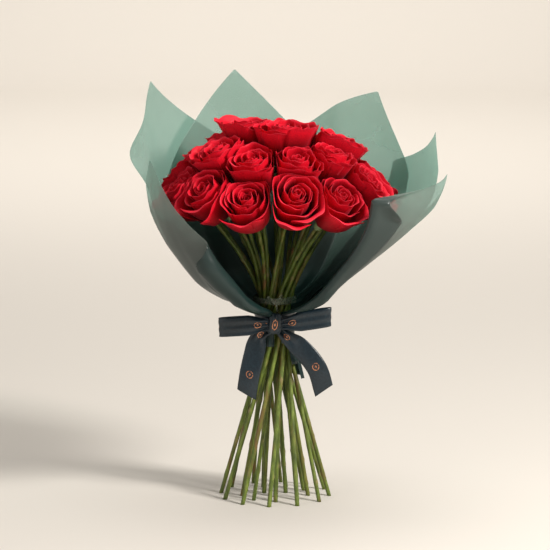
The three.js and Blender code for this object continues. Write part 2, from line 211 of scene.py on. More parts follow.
class Nodes:
    """A material's node tree, with short calls to add and join nodes."""

    def __init__(self, name):
        self.material = bpy.data.materials.new(name)
        self.material.use_nodes = True
        self.tree = self.material.node_tree
        self.shader = self.tree.nodes["Principled BSDF"]
        self.output = self.tree.nodes["Material Output"]

    def add(self, kind, inputs=None, **settings):
        node = self.tree.nodes.new(kind)
        for key, value in settings.items():
            setattr(node, key, value)
        for key, value in (inputs or {}).items():
            self.put(node.inputs[key], value)
        return node

    def put(self, socket, value):
        if isinstance(value, bpy.types.NodeSocket):
            self.tree.links.new(value, socket)
        else:
            socket.default_value = value

    def attribute(self, name):
        """A mesh attribute's vector, and its three parts."""
        node = self.add("ShaderNodeAttribute", attribute_name=name)
        parts = self.add("ShaderNodeSeparateXYZ", {"Vector": node.outputs["Vector"]})
        return node.outputs["Vector"], parts.outputs

    def ramp(self, factor, stops):
        """A colour from a factor, by (place, colour) stops."""
        node = self.add("ShaderNodeValToRGB", {"Fac": factor})
        elements = node.color_ramp.elements
        while len(elements) < len(stops):
            elements.new(0.5)
        for element, (place, colour) in zip(elements, stops):
            element.position = place
            element.color = (*colour, 1)
        return node.outputs["Color"]

    def mix(self, factor, a, b, mode="MIX"):
        """A blend of two colours, each a socket or three numbers."""
        node = self.add("ShaderNodeMix", data_type="RGBA", blend_type=mode)
        colours = [socket for socket in node.inputs if socket.type == "RGBA"]
        self.put(node.inputs[0], factor)
        self.put(colours[0], a if isinstance(a, bpy.types.NodeSocket) else (*a, 1))
        self.put(colours[1], b if isinstance(b, bpy.types.NodeSocket) else (*b, 1))
        return next(socket for socket in node.outputs if socket.type == "RGBA")

    def maths(self, operation, a, b=0.0, clamp=False):
        node = self.add("ShaderNodeMath", operation=operation, use_clamp=clamp)
        self.put(node.inputs[0], a)
        self.put(node.inputs[1], b)
        return node.outputs["Value"]

    def noise(self, scale, vector=None, detail=3.0, roughness=0.5):
        node = self.add("ShaderNodeTexNoise", {"Scale": scale, "Detail": detail, "Roughness": roughness})
        if vector is not None:
            self.put(node.inputs["Vector"], vector)
        return node.outputs["Fac"]

    def bump(self, height, strength, distance):
        """Bumps the shader's surface, and gives the normal for a second shader."""
        node = self.add("ShaderNodeBump", {"Height": height, "Strength": strength, "Distance": distance})
        self.put(self.shader.inputs["Normal"], node.outputs["Normal"])
        return node.outputs["Normal"]

    def blend(self, factor, first, second):
        """A blend of two shader nodes."""
        node = self.add("ShaderNodeMixShader", {"Fac": factor})
        self.put(node.inputs[1], first.outputs[0])
        self.put(node.inputs[2], second.outputs[0])
        return node

    def cover(self, shader):
        """Makes a shader node the material's surface."""
        self.put(self.output.inputs["Surface"], shader.outputs[0])

    def set(self, **values):
        """Sets the shader's own sockets: an underscore stands for a space."""
        for key, value in values.items():
            self.put(self.shader.inputs[key.replace("_", " ")], value)


def petal_material():
    """Velvety red, with painted shade that makes it almost black deep in the folds, and a painted highlight
    of paler pink along the thin rolled rims.

    The petals carry (side, height, layer): side runs -1 to 1 across a petal, height 0 to 1 from its base
    to its rim, and layer 0 to 1 from the heart out.
    """
    n = Nodes("rose_petals")
    _, (side, height, layer) = n.attribute("petal")
    # Painted shade and painted highlight: the red is painted almost black low on the petals, deep in the
    # bloom, and paler pink at the rolled rims.
    base = n.ramp(height, [
        (0.0, (0.20, 0.08, 0.02)),
        (0.12, (0.10, 0.001, 0.003)),
        (0.5, (0.42, 0.002, 0.009)),
        (0.8, (0.90, 0.004, 0.024)),
        (0.95, (1.0, 0.014, 0.045)),
        (1.0, (1.0, 0.045, 0.085)),
    ])
    patches = n.noise(55.0, detail=4.0)
    tone = n.ramp(patches, [(0.3, (0.72, 0.7, 0.72)), (0.65, (1.0, 1.0, 1.0))])
    colour = n.mix(1.0, base, tone, "MULTIPLY")
    veins_across = n.maths("MULTIPLY", side, 26.0)
    stretched = n.add("ShaderNodeCombineXYZ", {"X": veins_across, "Y": height, "Z": layer})
    veins = n.noise(2.2, stretched.outputs["Vector"], detail=5.0, roughness=0.6)
    veined = n.ramp(veins, [(0.35, (0.82, 0.8, 0.8)), (0.6, (1.0, 1.0, 1.0))])
    colour = n.mix(1.0, colour, veined, "MULTIPLY")
    n.set(Base_Color=colour, Roughness=0.55, Specular_IOR_Level=0.22)
    n.set(Sheen_Weight=0.14, Sheen_Roughness=0.4, Sheen_Tint=(1.0, 0.16, 0.24, 1))
    normal = n.bump(veins, 0.35, 0.25 * MM)
    glow = n.add("ShaderNodeBsdfTranslucent", {"Color": (0.85, 0.01, 0.02, 1), "Normal": normal})
    n.cover(n.blend(0.16, n.shader, glow))
    return n.material


def stem_material():
    """Fresh green with brown and tan patches that run along the stem, and a slight waxy gloss."""
    n = Nodes("rose_stem_skin")
    _, (_, scar, tint) = n.attribute("stem")
    place = n.add("ShaderNodeTexCoord").outputs["Object"]
    stretch = n.add("ShaderNodeMapping", {"Vector": place, "Scale": (1.0, 1.0, 0.16)}).outputs["Vector"]
    long_patches = n.noise(190.0, stretch, detail=5.0, roughness=0.65)
    green = n.ramp(long_patches, [
        (0.25, (0.04, 0.062, 0.010)),
        (0.5, (0.115, 0.165, 0.022)),
        (0.75, (0.27, 0.34, 0.06)),
    ])
    fine = n.noise(900.0, stretch, detail=3.0)
    green = n.mix(1.0, green, n.ramp(fine, [(0.3, (0.78, 0.78, 0.74)), (0.7, (1.0, 1.0, 1.0))]), "MULTIPLY")
    brown_patches = n.noise(75.0, stretch, detail=4.0, roughness=0.7)
    brown = n.ramp(brown_patches, [(0.5, (0, 0, 0)), (0.66, (1, 1, 1))])
    amount = n.maths("MULTIPLY", brown, tint)
    colour = n.mix(amount, green, (0.21, 0.085, 0.032))
    colour = n.mix(n.maths("MULTIPLY", scar, 0.75, clamp=True), colour, (0.30, 0.21, 0.10))
    n.set(Base_Color=colour, Roughness=0.42, Specular_IOR_Level=0.45)
    n.bump(n.maths("ADD", fine, long_patches), 0.3, 0.2 * MM)
    return n.material


def cut_end_material():
    """The cut across a stem: pale moist pith inside a thin green skin."""
    n = Nodes("rose_stem_cut")
    colour = n.ramp(n.noise(800.0, detail=3.0), [(0.3, (0.42, 0.45, 0.22)), (0.7, (0.62, 0.62, 0.38))])
    n.set(Base_Color=colour, Roughness=0.6)
    n.bump(n.noise(2500.0), 0.4, 0.15 * MM)
    return n.material


def calyx_material():
    """Pale sage green, in soft patches, with a bloom of wax and a faint fine grain."""
    n = Nodes("rose_calyx")
    colour = n.ramp(n.noise(160.0, detail=4.0), [(0.3, (0.13, 0.19, 0.07)), (0.7, (0.30, 0.36, 0.17))])
    n.set(Base_Color=colour, Roughness=0.55, Specular_IOR_Level=0.35)
    n.bump(n.noise(900.0), 0.3, 0.2 * MM)
    return n.material


def film_material():
    """Frosted dark green film. Part of the light goes straight through, tinted, and the rest meets a satin,
    faintly milky surface with handling creases.

    The film carries (reach, fold): how far up from the neck it is, in dome radii, and 1 where it is rolled
    over on itself. Low down and in a roll it is painted darker and less clear: painted shade for the shadow
    under the blooms and inside the rolls, where the film also lies several layers deep.
    """
    n = Nodes("frosted_film")
    place = n.add("ShaderNodeTexCoord").outputs["Object"]
    _, (reach, fold, _) = n.attribute("film")
    cloud = n.noise(14.0, place, detail=4.0)
    up = n.maths("MULTIPLY", reach, 0.4)  # 1 at two and a half dome radii
    # Painted shade: high is near 0 low down, where the film is painted dark teal and less see-through, and 1
    # high up, where it is milky and clearer.
    high = n.ramp(up, [
        (0.26, (0.02, 0.02, 0.02)),
        (0.52, (0.26, 0.26, 0.26)),
        (0.78, (0.85, 0.85, 0.85)),
        (1.0, (1, 1, 1)),
    ])
    # More painted shade inside the rolls, where fold is 1.
    high = n.maths("MULTIPLY", high, n.maths("SUBTRACT", 1.0, n.maths("MULTIPLY", fold, 0.85)))
    haze = n.ramp(cloud, [(0.3, (0.33, 0.335, 0.315)), (0.7, (0.42, 0.425, 0.40))])
    body = n.mix(high, (0.012, 0.036, 0.034), haze)
    n.set(Base_Color=body, Roughness=0.3, Specular_IOR_Level=0.5)
    creases = n.noise(38.0, place, detail=6.0, roughness=0.7)
    fine = n.noise(1600.0, place, detail=2.0)
    normal = n.bump(n.maths("ADD", creases, n.maths("MULTIPLY", fine, 0.08)), 0.22, 0.9 * MM)
    # The colour of the light through the film follows the same painted shade.
    glow = n.mix(high, (0.010, 0.035, 0.032), (0.34, 0.41, 0.36))
    scatter = n.add("ShaderNodeBsdfTranslucent", {"Color": glow, "Normal": normal})
    clear = n.add("ShaderNodeBsdfTransparent", {"Color": (0.70, 0.96, 0.91, 1)})
    surface = n.blend(0.3, n.shader, scatter)
    clearness = n.maths("ADD", n.maths("MULTIPLY", high, 0.5), 0.08)
    n.cover(n.blend(clearness, surface, clear))
    return n.material


def ribbon_material():
    """Dark blue-green satin: fine threads across, a long soft gloss, and a plain copper foil motif.

    The ribbon carries (across, along): across is 0 to 1 over its width, along is in ribbon widths.
    """
    n = Nodes("satin_ribbon")
    strip, (across, along, _) = n.attribute("strip")
    weave = {"Scale": 42.0, "Distortion": 0.6, "Detail": 1.0}
    threads = n.add("ShaderNodeTexWave", weave, bands_direction="Y")
    n.put(threads.inputs["Vector"], strip)
    streaks = n.noise(9.0, strip, detail=4.0)
    satin = n.ramp(streaks, [(0.3, (0.004, 0.010, 0.016)), (0.7, (0.010, 0.024, 0.034))])
    # The motif, in every other ribbon width of length: a ring with a lozenge in it, worn off in places.
    beat = n.maths("FRACT", along)
    down = n.maths("SUBTRACT", beat, 0.5)
    over = n.maths("SUBTRACT", across, 0.5)
    away = n.maths("SQRT", n.maths("ADD", n.maths("MULTIPLY", down, down), n.maths("MULTIPLY", over, over)))
    ring_radius = 0.16
    ring_line = 0.022
    ring = n.maths("COMPARE", away, ring_radius)
    n.put(ring.node.inputs[2], ring_line)
    diamond = n.maths("ADD", n.maths("ABSOLUTE", down), n.maths("ABSOLUTE", over))
    lozenge_size = 0.07
    dot = n.maths("LESS_THAN", diamond, lozenge_size)
    every_other = n.maths("LESS_THAN", n.maths("FRACT", n.maths("MULTIPLY", along, 0.5)), 0.5)
    motif = n.maths("MULTIPLY", n.maths("MAXIMUM", ring, dot), every_other)
    worn = n.maths("GREATER_THAN", n.noise(16.0, strip, detail=5.0), 0.44)
    foil = n.maths("MULTIPLY", motif, worn)
    colour = n.mix(foil, satin, (0.62, 0.26, 0.13))
    n.set(Base_Color=colour, Metallic=n.maths("MULTIPLY", foil, 0.85), Roughness=0.30)
    n.set(Specular_IOR_Level=0.5, Sheen_Weight=0.06, Sheen_Roughness=0.4)
    n.bump(threads.outputs["Fac"], 0.12, 0.12 * MM)
    return n.material


def tape_material():
    """Clear tape: mostly see-through, faintly milky in patches, with a sharp gloss."""
    n = Nodes("clear_tape")
    milk = n.ramp(n.noise(120.0, detail=3.0), [(0.35, (0.14, 0.16, 0.11)), (0.7, (0.34, 0.37, 0.30))])
    n.set(Base_Color=milk, Roughness=0.12, Specular_IOR_Level=0.7)
    n.bump(n.noise(260.0), 0.4, 0.3 * MM)
    clear = n.add("ShaderNodeBsdfTransparent", {"Color": (0.93, 0.95, 0.92, 1)})
    n.cover(n.blend(0.68, n.shader, clear))
    return n.material


def backdrop_material():
    """Plain matt cream paper."""
    n = Nodes("studio_paper")
    colour = n.ramp(n.noise(3.0, detail=2.0), [(0.3, (0.71, 0.675, 0.625)), (0.7, (0.72, 0.685, 0.635))])
    n.set(Base_Color=colour, Roughness=0.9, Specular_IOR_Level=0.1)
    return n.material


PETALS = petal_material()
STEM_SKIN = stem_material()
STEM_CUT = cut_end_material()
CALYX = calyx_material()
FILM = film_material()
SATIN = ribbon_material()
TAPE = tape_material()
PAPER = backdrop_material()

# ---------------- the blooms

PETALS_EACH = 21
PETAL_ROWS = 19
PETAL_COLUMNS = 17
PETAL_THICKNESS = 0.32 * MM
GOLDEN_ANGLE = math.radians(137.5)
BLOOM_WIDTH = 79 * MM  # of a bloom that is just opening, before its neighbours press it
BLOOM_OPENING = 7 * MM  # how much wider a fully open one is
PRESS_HEIGHT = 0.74  # where heads touch, as a share of their height
PRESS_DEPTH = 9 * MM
PRESS_GAP = 0.4 * MM
PRESS_REACH = 80 * MM  # heads further apart than this don't press each other


def petal_grid(layer, height, width, openness, rng):
    """One petal as a grid, base at its bloom's origin and rim up. layer is 0 at the heart, 1 outside."""
    # Rows crowd towards the rim, where the petal rolls.
    crowding = 1.5
    v = (1 - (1 - np.linspace(0, 1, PETAL_ROWS)) ** crowding)[:, None]
    u = np.linspace(-1, 1, PETAL_COLUMNS)[None, :]
    # The outline: narrow at the base, widest at three fifths, and a rounded rim with a slight point.
    half_angle = np.interp(layer, [0, 0.25, 0.6, 1], [2.3, 1.45, 1.02, 0.86]) * rng.uniform(0.93, 1.07)
    angle = u * half_angle * (0.30 + 0.70 * smooth_step(v, 0, 0.55))
    point = 0.03 * np.exp(-((u / 0.16) ** 2)) * layer
    reach = 1 - 0.15 * np.abs(u) ** 2.6 + point
    length = height * np.interp(layer, [0, 0.2, 0.5, 0.8, 1], [0.95, 1.02, 1.07, 1.05, 0.97])
    length *= rng.uniform(0.92, 1.05)
    v = v * reach
    # The side view: out from the base, up round the cup, then a roll of the rim to the outside.
    belly = width / 2 * np.interp(layer, [0, 0.15, 0.5, 0.8, 1], [0.08, 0.20, 0.46, 0.68, 0.84])
    belly *= np.interp(layer, [0, 1], [1, 0.94 + 0.1 * openness])
    roll_start = np.interp(layer, [0, 0.3, 1], [0.97, 0.90, 0.80])
    roll_radius = np.interp(layer, [0, 0.3, 1], [0.8, 2.4, 5.0]) * MM * rng.uniform(0.8, 1.25)
    roll = np.interp(layer, [0, 0.15, 0.4, 0.7, 1], [0.2, 0.6, 1.1, 1.7, 2.3]) * (0.75 + 0.4 * openness)
    roll = roll * rng.uniform(0.65, 1.2) * (0.68 + 0.5 * np.abs(u) ** 1.4)
    upright = np.minimum(v, roll_start) / roll_start
    cup = np.sin(np.pi / 2 * np.clip(upright / 0.66, 0, 1)) ** 0.75
    close = 1 - 0.16 * (1 - layer) * smooth_step(upright, 0.6, 1)
    flare = 1 + (0.07 + 0.16 * openness) * layer ** 2 * smooth_step(upright, 0.62, 1)
    base_radius = 2.2 * MM
    radius = (base_radius * (1 - cup) + belly * cup) * close * flare
    z = length * roll_start * upright
    turn = np.clip((v - roll_start) / (1 - roll_start), 0, 1.15) * roll
    radius = radius + roll_radius * (1 - np.cos(turn))
    z = z + roll_radius * np.sin(turn)
    # One side of each petal tucks under its neighbour, and its free corners fall a little outward.
    tuck = np.interp(layer, [0, 0.3, 1], [0.9, 1.5, 2.6]) * MM
    radius = radius + tuck * u * smooth_step(v, 0.1, 0.6)
    corner_fall = 2.4 * MM
    radius = radius + corner_fall * layer * np.abs(u) ** 4 * smooth_step(v, 0.4, 1)
    # Soft waves along the rim, up and down and in and out
    wave = rng.uniform(0, 2 * np.pi)
    ruffle = np.sin(2.6 * np.pi * u + wave) * v ** 5
    up_wave = 1.4 * MM
    out_wave = 1.2 * MM
    z = z + up_wave * (0.3 + layer) * ruffle
    radius = radius + out_wave * (0.2 + layer) * np.cos(2.1 * np.pi * u + wave) * v ** 4
    lean = rng.normal(0, 0.03) * layer + 0.05 * openness * layer ** 3
    radius = radius + z * math.tan(lean) * layer
    x = radius * np.sin(angle)
    y = radius * np.cos(angle)
    marks = np.stack(np.broadcast_arrays(u, np.clip(v, 0, 1), np.full_like(x, layer)), axis=-1)
    return np.stack([x, y, z], axis=-1), marks


def turned(grid, angle):
    """A grid turned about +Z."""
    c = math.cos(angle)
    s = math.sin(angle)
    return grid @ np.array([[c, s, 0], [-s, c, 0], [0, 0, 1]])


def pressed(points, own):
    """Points of one head, pressed back softly where they would reach into a neighbouring head."""
    base, axis, height = heads[own]
    centre = base + axis * height * PRESS_HEIGHT
    for other, (other_base, other_axis, other_height) in enumerate(heads):
        way = other_base + other_axis * other_height * PRESS_HEIGHT - centre
        apart = np.linalg.norm(way)
        if other == own or apart > PRESS_REACH:
            continue
        way /= apart
        start = apart / 2 - PRESS_GAP - PRESS_DEPTH
        depth = (points - centre) @ way
        over = np.maximum(depth - start, 0)
        kept = PRESS_DEPTH * (1 - np.exp(-over / PRESS_DEPTH))
        points = points + way * (kept - over)[:, None]
    return points


def bloom(number, base, axis, height):
    """One rose head: petals in a golden-angle spiral round a rolled heart."""
    rng = np.random.default_rng(SEED + number)
    openness = rng.uniform(0.1, 1.0)
    size = rng.uniform(0.97, 1.04)
    width = (BLOOM_WIDTH + BLOOM_OPENING * openness) * size
    points = []
    faces = []
    marks = []
    count = 0
    start = rng.uniform(0, 2 * np.pi)
    handed = 1 if rng.random() < 0.8 else -1
    for k in range(PETALS_EACH):
        layer = k / (PETALS_EACH - 1)
        grid, mark = petal_grid(layer, height * 1.02 * size, width, openness, rng)
        grid = turned(grid, start + handed * k * GOLDEN_ANGLE + rng.normal(0, 0.16))
        petal_points, petal_faces = thick_sheet(grid, PETAL_THICKNESS)
        points.append(petal_points)
        faces.append(petal_faces + count)
        marks.append(np.concatenate([mark.reshape(-1, 3)] * 2))
        count += len(petal_points)
    points = np.concatenate(points) @ turn_to(axis, rng.uniform(0, 2 * np.pi)).T + base
    points = pressed(points, number - 1)
    faces = np.concatenate(faces).tolist()
    label = f"{number:02d}"
    obj = make_object(f"bloom_{label}", points, faces, [PETALS], attributes={"petal": np.concatenate(marks)})
    attach(obj, f"rose_head_{label}")


# ---------------- the stems

STEM_SIDES = 12
STEM_STEP = 4 * MM
STEM_RADIUS = 2.6 * MM
RECEPTACLE_LENGTH = 11 * MM
THORN_SCARS = 5
SEPALS = 5
# The receptacle's outline, from the stem up: radius and height from the head's base, in millimetres
URN = [(2.1, -11.5), (3.1, -10.3), (5.0, -8.0), (6.3, -4.6), (6.2, -2.0), (5.2, -0.2), (5.6, 0.8)]


def smooth_path(knots, step):
    """Evenly spaced points on a Catmull-Rom curve through the knots."""
    padded = np.concatenate([[2 * knots[0] - knots[1]], knots, [2 * knots[-1] - knots[-2]]])
    pieces = []
    share = np.linspace(0, 1, 24, endpoint=False)[:, None]
    for a, b, c, d in zip(padded[:-3], padded[1:-2], padded[2:-1], padded[3:]):
        pieces.append(0.5 * (2 * b + (c - a) * share + (2 * a - 5 * b + 4 * c - d) * share ** 2
                             + (3 * b - a - 3 * c + d) * share ** 3))
    curve = np.concatenate([*pieces, knots[-1:]])
    lengths = distances(curve)
    at = np.linspace(0, lengths[-1], max(2, int(lengths[-1] / step) + 1))
    return np.stack([np.interp(at, lengths, curve[:, k]) for k in range(3)], axis=1)


def tube_frames(path):
    """Two directions across a path at each of its points, carried along without twist."""
    tangents = unit(np.gradient(path, axis=0))
    side = np.cross(tangents[0], [0, 1.0, 0])
    sides = []
    for tangent in tangents:
        side = unit(side - tangent * (side @ tangent))
        sides.append(side)
    sides = np.array(sides)
    return tangents, sides, np.cross(tangents, sides)


def stem_thickness(along, turns, rng):
    """A stem's radius over its rows and sides, and how far each point is a scar of a leaf or a thorn."""
    thick = np.full((len(along), STEM_SIDES), STEM_RADIUS * rng.uniform(0.9, 1.03))
    thick *= (1 - 0.12 * smooth_step(along, along[-1] * 0.6, along[-1]))[:, None]
    scar = np.zeros_like(thick)
    place = rng.uniform(20, 60) * MM
    facing = rng.uniform(0, 2 * np.pi)
    while place < along[-1] - 20 * MM:
        near = np.exp(-(((along - place) / (3.2 * MM)) ** 2))[:, None]
        side = np.clip(np.cos(turns - facing), 0, 1)[None, :] ** 2
        thick += near * (0.25 + 0.75 * side) * 0.85 * MM
        scar = np.maximum(scar, near ** 2 * side)
        place += rng.uniform(38, 66) * MM
        facing += GOLDEN_ANGLE
    for _ in range(THORN_SCARS):
        spot = rng.uniform(0.05, 0.8) * along[-1]
        facing = rng.uniform(0, 2 * np.pi)
        near = np.exp(-(((along - spot) / (1.9 * MM)) ** 2))[:, None]
        side = np.clip(np.cos(turns - facing), 0, 1)[None, :] ** 8
        thick += near * side * 1.1 * MM
        scar = np.maximum(scar, 0.7 * near * side)
    return thick, scar


def stem_skin(path, thick, turns):
    """The points round a stem. Its first rings slide along it until the cut lies flat on the ground."""
    tangents, across, around = tube_frames(path)
    ring = np.cos(turns)[None, :, None] * across[:, None] + np.sin(turns)[None, :, None] * around[:, None]
    skin = path[:, None] + ring * thick[..., None]
    down = -skin[:, :, 2] / tangents[:, None, 2]
    first = np.arange(len(path))[:, None] == 0
    skin += tangents[:, None] * np.where(first, down, np.maximum(0, down))[..., None]
    skin[1] = (skin[0] + skin[2]) / 2
    return skin


def sepal(number, rng):
    """A pointed strip that stands off the receptacle's rim and bends back towards the stem."""
    rows = 9
    v = np.linspace(0, 1, rows)[:, None]
    u = np.linspace(-1, 1, 5)[None, :]
    length = rng.uniform(17, 25) * MM
    bend = rng.uniform(0.9, 2.3)
    angle = 0.35 + bend * v
    out = 5.6 * MM + length * (np.cumsum(np.sin(angle), axis=0) / rows)
    rise = 0.4 * MM + length * (np.cumsum(np.cos(angle), axis=0) / rows)
    half = 2.9 * MM * np.sin(np.pi * np.clip(v + 0.22, 0, 1)) ** 0.8 * (1 - v ** 3) + 0.12 * MM
    trough = 0.9 * MM * u ** 2 * (1 - v)
    grid = np.stack(np.broadcast_arrays(half * u, out - trough, rise), axis=-1)
    grid = turned(grid, number * 2 * np.pi / SEPALS + rng.normal(0, 0.1))
    return thick_sheet(grid, 0.4 * MM)


def stem(number, points, triangles, head_base, head_axis):
    """One stem from its cut end to its calyx, with leaf scars, the receptacle and five bent-back sepals."""
    rng = np.random.default_rng(SEED * 100 + number)
    top = head_base - head_axis * (RECEPTACLE_LENGTH + 5 * MM)
    heights = np.linspace(0.3 * MM, top[2], 13)[:-1]
    knots = [slice_centre(points, triangles, height) for height in heights]
    knots[0][2] = 0
    knots = np.array([*knots, top, head_base - head_axis * RECEPTACLE_LENGTH * 0.9])
    path = smooth_path(knots, STEM_STEP)
    turns = np.arange(STEM_SIDES) * 2 * np.pi / STEM_SIDES
    along = np.arange(len(path)) * STEM_STEP
    thick, scar = stem_thickness(along, turns, rng)
    skin = stem_skin(path, thick, turns)
    tint = rng.uniform(0.15, 0.9)
    marks = np.stack(np.broadcast_arrays(along[:, None] / along[-1], scar, tint), axis=-1).reshape(-1, 3)
    all_points = [skin.reshape(-1, 3)]
    faces, ends = tube_faces(len(path), STEM_SIDES)
    kinds = [0] * len(faces) + [1, 0]
    faces += ends
    count = len(path) * STEM_SIDES
    turn = turn_to(head_axis, rng.uniform(0, 2 * np.pi))
    urn = np.array([[(r * math.cos(a), r * math.sin(a), z) for a in turns] for r, z in URN]) * MM
    all_points.append(urn.reshape(-1, 3) @ turn.T + head_base)
    urn_faces, ends = tube_faces(len(URN), STEM_SIDES, count)
    faces += urn_faces + ends
    kinds += [2] * (len(urn_faces) + len(ends))
    count += len(URN) * STEM_SIDES
    for k in range(SEPALS):
        sepal_points, sepal_faces = sepal(k, rng)
        all_points.append(sepal_points @ turn.T + head_base)
        faces += (sepal_faces + count).tolist()
        kinds += [2] * len(sepal_faces)
        count += len(sepal_points)
    filler = np.tile([1.0, 0.0, 0.2], (count - len(marks), 1))
    label = f"{number:02d}"
    obj = make_object(f"stem_{label}", np.concatenate(all_points), faces, [STEM_SKIN, STEM_CUT, CALYX],
                      kinds, {"stem": np.concatenate([marks, filler])})
    attach(obj, f"rose_stem_{label}")


for k in range(ROSES):
    head_base, head_axis, head_height = heads[k]
    bloom(k + 1, head_base, head_axis, head_height)
    stem(k + 1, *stem_meshes[k], head_base, head_axis)

# ---------------- the film wrap
#
# The sheets follow the frame's funnel: a radius and a height above the collar, both in dome radii.

DOME = 109.44 * MM
NECK = 19.53 * MM
LAYER_GAP = 1.15 * MM
LAYER_SPREAD = 0.02
FILM_THICKNESS = 0.22 * MM
STEEP_OUTLINE = [(0.57, 0.16), (0.83, 0.34), (1.13, 0.77), (1.28, 1.12), (1.34, 1.74), (1.37, 2.6)]
OPEN_OUTLINE = [(0.47, 0.22), (0.76, 0.42), (1.03, 0.63), (1.4, 0.96), (1.66, 1.2), (1.8, 1.53), (1.86, 2.4)]
OPEN_FROM = (32, 82)  # bearings in degrees over which the steep side passes into the open one
OPEN_UNTIL = (105, 150)
CRISPNESS = 0.5  # how much of each bend in the funnel is a crease rather than a curve
FLARE = (0.15, 0.065)  # where the film leaves the collar, from the neck
BOW_FROM = (1.37, 3)  # the reaches over which a sheet bends in or out, past the blooms
# The stems under the skirt: the bundle's radius at its waist, how fast it opens, and the film's gap to it
BUNDLE = 14.66 * MM
SPLAY = 0.0203 / MM
STEM_EDGE = 2.6 * MM
SKIRT_GAP = 1.2 * MM
# The gathers that run out of the neck: how many there are round it, how deep, and where they start
GATHERS = [(13, 1, 0), (21, 0.6, 1.3), (34, 0.4, 0.4)]
COLLAR = COLLAR_TOP - WAIST
SHEET_ROWS = 90
SHEET_COLUMNS = 73


def funnel_side(outline):
    """A table of (distance up the film, radius, height) along one side of the funnel."""
    knots = [(NECK, 0), (NECK + FLARE[0] * DOME, FLARE[1] * DOME)]
    knots += [(out * DOME, high * DOME) for out, high in outline]
    knots = np.array([(radius, 0, COLLAR_TOP + high) for radius, high in knots])
    curve = smooth_path(knots, 2 * MM)
    along = distances(knots)
    at = np.linspace(0, along[-1], len(curve))
    straight = np.stack([np.interp(at, along, knots[:, k]) for k in range(3)], axis=1)
    curve = curve + (straight - curve) * CRISPNESS
    lengths = distances(curve)
    return lengths, curve[:, 0], curve[:, 2]


STEEP_SIDE = funnel_side(STEEP_OUTLINE)
OPEN_SIDE = funnel_side(OPEN_OUTLINE)


def skirt_radius(height):
    """The radius of the film's skirt, which follows the stems outward below the ribbon."""
    turn = SPLAY * (height - WAIST)
    bundle = BUNDLE * np.sqrt(1 + turn * turn) + STEM_EDGE
    loose = 3 * MM * smooth_step(WAIST - height, 14 * MM, 60 * MM)
    return bundle + SKIRT_GAP + loose


def funnel(bearing, reach):
    """Radius and height of the funnel at a bearing in degrees and a distance up the film."""
    above = reach - COLLAR
    openness = smooth_step(bearing, *OPEN_FROM) * (1 - smooth_step(bearing, *OPEN_UNTIL))
    radius = np.interp(above, STEEP_SIDE[0], STEEP_SIDE[1]) * (1 - openness)
    radius = radius + np.interp(above, OPEN_SIDE[0], OPEN_SIDE[1]) * openness
    height = np.interp(above, STEEP_SIDE[0], STEEP_SIDE[2]) * (1 - openness)
    height = height + np.interp(above, OPEN_SIDE[0], OPEN_SIDE[2]) * openness
    low = above <= 0
    height = np.where(low, WAIST + reach, height)
    radius = np.where(low, np.maximum(NECK, skirt_radius(height)), radius)
    # Gathers run out of the tied neck, deepest just above it and in the skirt below it.
    phase = np.radians(bearing)
    pleat = sum(share * np.sin(folds * phase + start) for folds, share, start in GATHERS)
    fading = np.exp(-np.maximum(above, 0) / (80 * MM))
    depth = 0.4 * MM + 3.0 * MM * smooth_step(above, 2 * MM, 45 * MM) * fading
    depth = depth + 1.6 * MM * smooth_step(-reach, 14 * MM, 40 * MM)
    return radius + pleat * depth * 0.5, height


def bow(sheet, reach):
    """How far a sheet bends outward at a reach."""
    return sheet["bow"] * DOME * smooth_step(reach / DOME, *BOW_FROM)


def sheet_surface(sheet, bearing, reach, outward):
    """Points on a sheet: the funnel at its layer, bent and waved, and then moved outward."""
    share = reach / (sheet["tip"] * DOME)
    radius, height = funnel(bearing, reach)
    ahead = [funnel(bearing, reach + step * MM) for step in (-1, 1)]
    up_radius = ahead[1][0] - ahead[0][0]
    up_height = ahead[1][1] - ahead[0][1]
    size = np.hypot(up_radius, up_height)
    shift = sheet["layer"] * (LAYER_GAP + LAYER_SPREAD * np.maximum(0, reach - COLLAR))
    # Slow waves of a stiff film that has been handled, growing towards its free edges.
    free = smooth_step(share, 0.35, 1.0)
    first, second = sheet["waves"]
    wave = 1.6 * MM * free * np.sin(np.radians(bearing) * 5 + first + share * 4)
    wave = wave + 0.8 * MM * free * np.sin(np.radians(bearing) * 11 + second - share * 7)
    out = shift + bow(sheet, reach) + wave + outward
    return radius + out * up_height / size, height - out * up_radius / size


def half_angles(sheet, reach):
    """How many degrees a sheet's left and its right edge are from its middle, at each reach."""
    bearing = sheet["bearing"]
    tip = sheet["tip"] * DOME

    def edge_angle(at, slope):
        radius = funnel(bearing + 0 * at, at)[0] + bow(sheet, at)
        return np.degrees(slope * (tip + 1 * MM - at) / radius)

    def half_angle(corner, slope):
        low_edge = edge_angle(np.full_like(reach, corner), slope)
        low = sheet["neck"] + (low_edge - sheet["neck"]) * smooth_step(reach, 0, corner)
        return np.where(reach < corner, low, edge_angle(reach, slope))

    return [half_angle(corner * DOME, slope) for corner, slope in zip(sheet["corners"], sheet["slopes"])]


